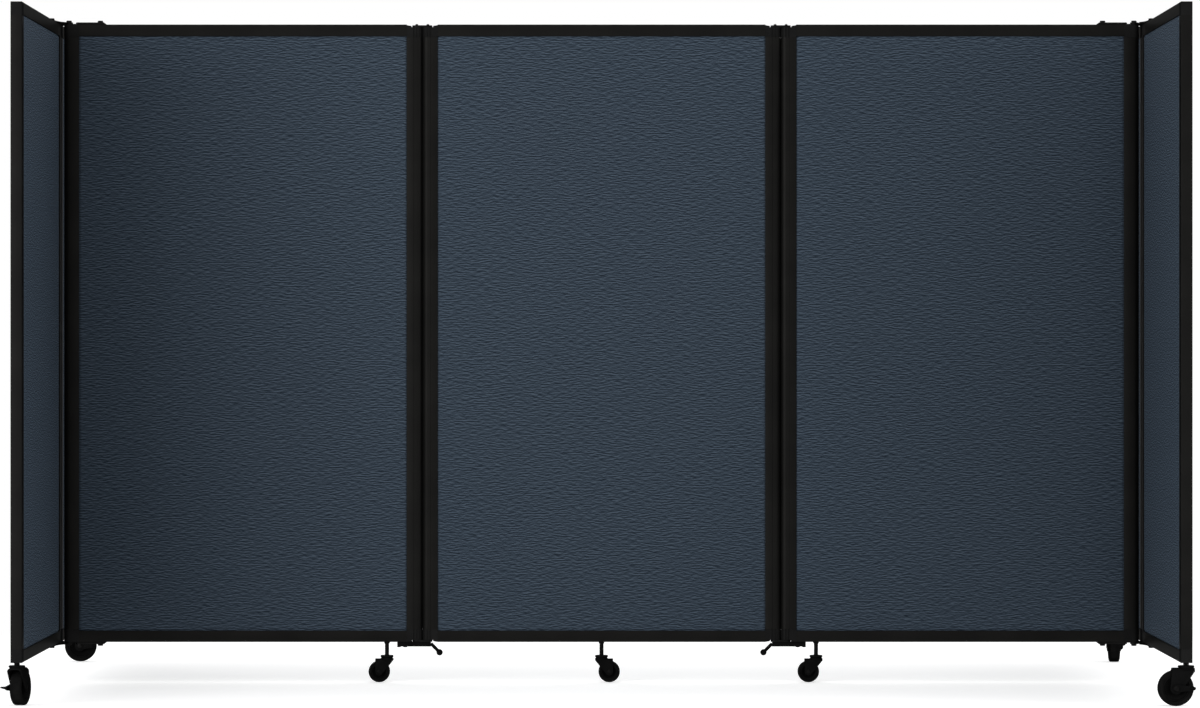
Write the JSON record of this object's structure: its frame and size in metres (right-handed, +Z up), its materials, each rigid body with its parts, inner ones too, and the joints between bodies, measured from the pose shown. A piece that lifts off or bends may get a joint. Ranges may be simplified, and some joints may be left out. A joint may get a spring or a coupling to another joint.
{
  "type": "folding privacy screen on casters",
  "caption": "Free-standing folding room divider with fabric panels in slim black frames, hinged panels in line, folding wings at both ends, lock levers and swivel casters.",
  "frame": {"origin": "on the floor under the middle of the centre panel", "axes": "+X along the line of panels to the right seen from the front, +Y to the back, +Z up"},
  "size_m": [2.651, 1.6492, 1.5498],
  "materials": {
    "frame_black": "satin black coating",
    "slate_fabric": "dark slate blue crepe weave",
    "hinge_black": "satin black coating",
    "hardware_black": "blackened fasteners",
    "caster_black": "moulded, half matt",
    "wheel_black": "matt tread"
  },
  "bodies": {
    "centre_panel": {"centre_panel_frame": "frame_black", "centre_panel_fabric": "slate_fabric", "centre_caster_stem": "hardware_black"},
    "left_hinge_links": {"left_hinge_link_top": "hinge_black", "left_hinge_link_bottom": "hinge_black"},
    "right_hinge_links": {"right_hinge_link_top": "hinge_black", "right_hinge_link_bottom": "hinge_black"},
    "left_panel": {"left_panel_frame": "frame_black", "left_panel_fabric": "slate_fabric", "left_panel_hinge_arm_top": "hinge_black", "left_panel_hinge_arm_bottom": "hinge_black", "left_lock_screw": "hardware_black", "left_caster_stem": "hardware_black"},
    "right_panel": {"right_panel_frame": "frame_black", "right_panel_fabric": "slate_fabric", "right_panel_hinge_arm_top": "hinge_black", "right_panel_hinge_arm_bottom": "hinge_black", "right_lock_screw": "hardware_black", "right_caster_stem": "hardware_black"},
    "left_front_wing": {"left_front_wing_frame": "frame_black", "left_front_wing_fabric": "slate_fabric", "left_front_wing_hinge_arm_top": "hinge_black", "left_front_wing_hinge_arm_bottom": "hinge_black", "left_front_caster_stem": "hardware_black"},
    "left_rear_wing": {"left_rear_wing_frame": "frame_black", "left_rear_wing_fabric": "slate_fabric", "left_rear_wing_hinge_arm_top": "hinge_black", "left_rear_wing_hinge_arm_bottom": "hinge_black", "left_rear_caster_stem": "hardware_black"},
    "right_front_wing": {"right_front_wing_frame": "frame_black", "right_front_wing_fabric": "slate_fabric", "right_front_wing_hinge_arm_top": "hinge_black", "right_front_wing_hinge_arm_bottom": "hinge_black", "right_front_caster_stem": "hardware_black"},
    "right_rear_wing": {"right_rear_wing_frame": "frame_black", "right_rear_wing_fabric": "slate_fabric", "right_rear_wing_hinge_arm_top": "hinge_black", "right_rear_wing_hinge_arm_bottom": "hinge_black", "right_rear_caster_stem": "hardware_black"},
    "left_lever": {"left_lock_lever": "caster_black"},
    "right_lever": {"right_lock_lever": "caster_black"},
    "centre_fork": {"centre_caster_fork": "caster_black"},
    "left_fork": {"left_caster_fork": "caster_black"},
    "right_fork": {"right_caster_fork": "caster_black"},
    "left_front_fork": {"left_front_caster_fork": "caster_black"},
    "left_rear_fork": {"left_rear_caster_fork": "caster_black"},
    "right_front_fork": {"right_front_caster_fork": "caster_black"},
    "right_rear_fork": {"right_rear_caster_fork": "caster_black"},
    "centre_wheel": {"centre_caster_wheel": "wheel_black"},
    "left_wheel": {"left_caster_wheel": "wheel_black"},
    "right_wheel": {"right_caster_wheel": "wheel_black"},
    "left_front_wheel": {"left_front_caster_wheel": "wheel_black"},
    "left_rear_wheel": {"left_rear_caster_wheel": "wheel_black"},
    "right_front_wheel": {"right_front_caster_wheel": "wheel_black"},
    "right_rear_wheel": {"right_rear_caster_wheel": "wheel_black"},
    "left_front_brake": {"left_front_caster_brake": "caster_black"},
    "left_rear_brake": {"left_rear_caster_brake": "caster_black"},
    "right_front_brake": {"right_front_caster_brake": "caster_black"},
    "right_rear_brake": {"right_rear_caster_brake": "caster_black"}
  },
  "joints": [
    {"name": "left_hinge_inner", "type": "hinge", "parent": "centre_panel", "child": "left_hinge_links", "pos_m": [-0.40685, 0, 0.8], "axis": [0, 0, 1], "range_deg": [-45, 45]},
    {"name": "left_hinge_outer", "type": "hinge", "parent": "left_hinge_links", "child": "left_panel", "pos_m": [-0.43285, 0, 0.8], "axis": [0, 0, 1], "range_deg": [-45, 45]},
    {"name": "right_hinge_inner", "type": "hinge", "parent": "centre_panel", "child": "right_hinge_links", "pos_m": [0.40685, 0, 0.8], "axis": [0, 0, 1], "range_deg": [-45, 45]},
    {"name": "right_hinge_outer", "type": "hinge", "parent": "right_hinge_links", "child": "right_panel", "pos_m": [0.43285, 0, 0.8], "axis": [0, 0, 1], "range_deg": [-45, 45]},
    {"name": "left_front_wing_fold", "type": "hinge", "parent": "left_panel", "child": "left_front_wing", "pos_m": [-1.24765, 0, 0.8], "axis": [0, 0, 1], "range_deg": [0, 85]},
    {"name": "left_rear_wing_fold", "type": "hinge", "parent": "left_panel", "child": "left_rear_wing", "pos_m": [-1.24765, 0, 0.8], "axis": [0, 0, 1], "range_deg": [-85, 0]},
    {"name": "right_front_wing_fold", "type": "hinge", "parent": "right_panel", "child": "right_front_wing", "pos_m": [1.24765, 0, 0.8], "axis": [0, 0, 1], "range_deg": [-85, 0]},
    {"name": "right_rear_wing_fold", "type": "hinge", "parent": "right_panel", "child": "right_rear_wing", "pos_m": [1.24765, 0, 0.8], "axis": [0, 0, 1], "range_deg": [0, 85]},
    {"name": "left_lock_turn", "type": "hinge", "parent": "left_panel", "child": "left_lever", "pos_m": [-0.45985, 0, 0.088], "axis": [0, 0, 1], "range_deg": [0, 90]},
    {"name": "right_lock_turn", "type": "hinge", "parent": "right_panel", "child": "right_lever", "pos_m": [0.45985, 0, 0.088], "axis": [0, 0, 1], "range_deg": [-90, 0]},
    {"name": "centre_swivel", "type": "hinge", "parent": "centre_panel", "child": "centre_fork", "pos_m": [0, 0, 0.058], "axis": [0, 0, 1], "continuous": true},
    {"name": "left_swivel", "type": "hinge", "parent": "left_panel", "child": "left_fork", "pos_m": [-0.50265, 0, 0.058], "axis": [0, 0, 1], "continuous": true},
    {"name": "right_swivel", "type": "hinge", "parent": "right_panel", "child": "right_fork", "pos_m": [0.50265, 0, 0.058], "axis": [0, 0, 1], "continuous": true},
    {"name": "left_front_swivel", "type": "hinge", "parent": "left_front_wing", "child": "left_front_fork", "pos_m": [-1.27855, -0.7991, 0.084], "axis": [0, 0, 1], "continuous": true},
    {"name": "left_rear_swivel", "type": "hinge", "parent": "left_rear_wing", "child": "left_rear_fork", "pos_m": [-1.27855, 0.7991, 0.084], "axis": [0, 0, 1], "continuous": true},
    {"name": "right_front_swivel", "type": "hinge", "parent": "right_front_wing", "child": "right_front_fork", "pos_m": [1.27855, -0.7991, 0.084], "axis": [0, 0, 1], "continuous": true},
    {"name": "right_rear_swivel", "type": "hinge", "parent": "right_rear_wing", "child": "right_rear_fork", "pos_m": [1.27855, 0.7991, 0.084], "axis": [0, 0, 1], "continuous": true},
    {"name": "centre_wheel_spin", "type": "hinge", "parent": "centre_fork", "child": "centre_wheel", "pos_m": [0.018, 0, 0.025], "axis": [0, 1, 0], "continuous": true},
    {"name": "left_wheel_spin", "type": "hinge", "parent": "left_fork", "child": "left_wheel", "pos_m": [-0.52065, 0, 0.025], "axis": [0, 1, 0], "continuous": true},
    {"name": "right_wheel_spin", "type": "hinge", "parent": "right_fork", "child": "right_wheel", "pos_m": [0.48465, 0, 0.025], "axis": [0, 1, 0], "continuous": true},
    {"name": "left_front_wheel_spin", "type": "hinge", "parent": "left_front_fork", "child": "left_front_wheel", "pos_m": [-1.27357, -0.77665, 0.039], "axis": [-0.9763, 0.2164, 0], "continuous": true},
    {"name": "left_rear_wheel_spin", "type": "hinge", "parent": "left_rear_fork", "child": "left_rear_wheel", "pos_m": [-1.30155, 0.7991, 0.039], "axis": [0, -1, 0], "continuous": true},
    {"name": "right_front_wheel_spin", "type": "hinge", "parent": "right_front_fork", "child": "right_front_wheel", "pos_m": [1.25555, -0.7991, 0.039], "axis": [0, -1, 0], "continuous": true},
    {"name": "right_rear_wheel_spin", "type": "hinge", "parent": "right_rear_fork", "child": "right_rear_wheel", "pos_m": [1.27855, 0.7761, 0.039], "axis": [1, 0, 0], "continuous": true},
    {"name": "left_front_brake_press", "type": "hinge", "parent": "left_front_fork", "child": "left_front_brake", "pos_m": [-1.27357, -0.77665, 0.039], "axis": [-0.9763, 0.2164, 0], "range_deg": [-25, 0]},
    {"name": "left_rear_brake_press", "type": "hinge", "parent": "left_rear_fork", "child": "left_rear_brake", "pos_m": [-1.30155, 0.7991, 0.039], "axis": [0, -1, 0], "range_deg": [-25, 0]},
    {"name": "right_front_brake_press", "type": "hinge", "parent": "right_front_fork", "child": "right_front_brake", "pos_m": [1.25555, -0.7991, 0.039], "axis": [0, -1, 0], "range_deg": [-25, 0]},
    {"name": "right_rear_brake_press", "type": "hinge", "parent": "right_rear_fork", "child": "right_rear_brake", "pos_m": [1.27855, 0.7761, 0.039], "axis": [1, 0, 0], "range_deg": [-25, 0]}
  ]
}
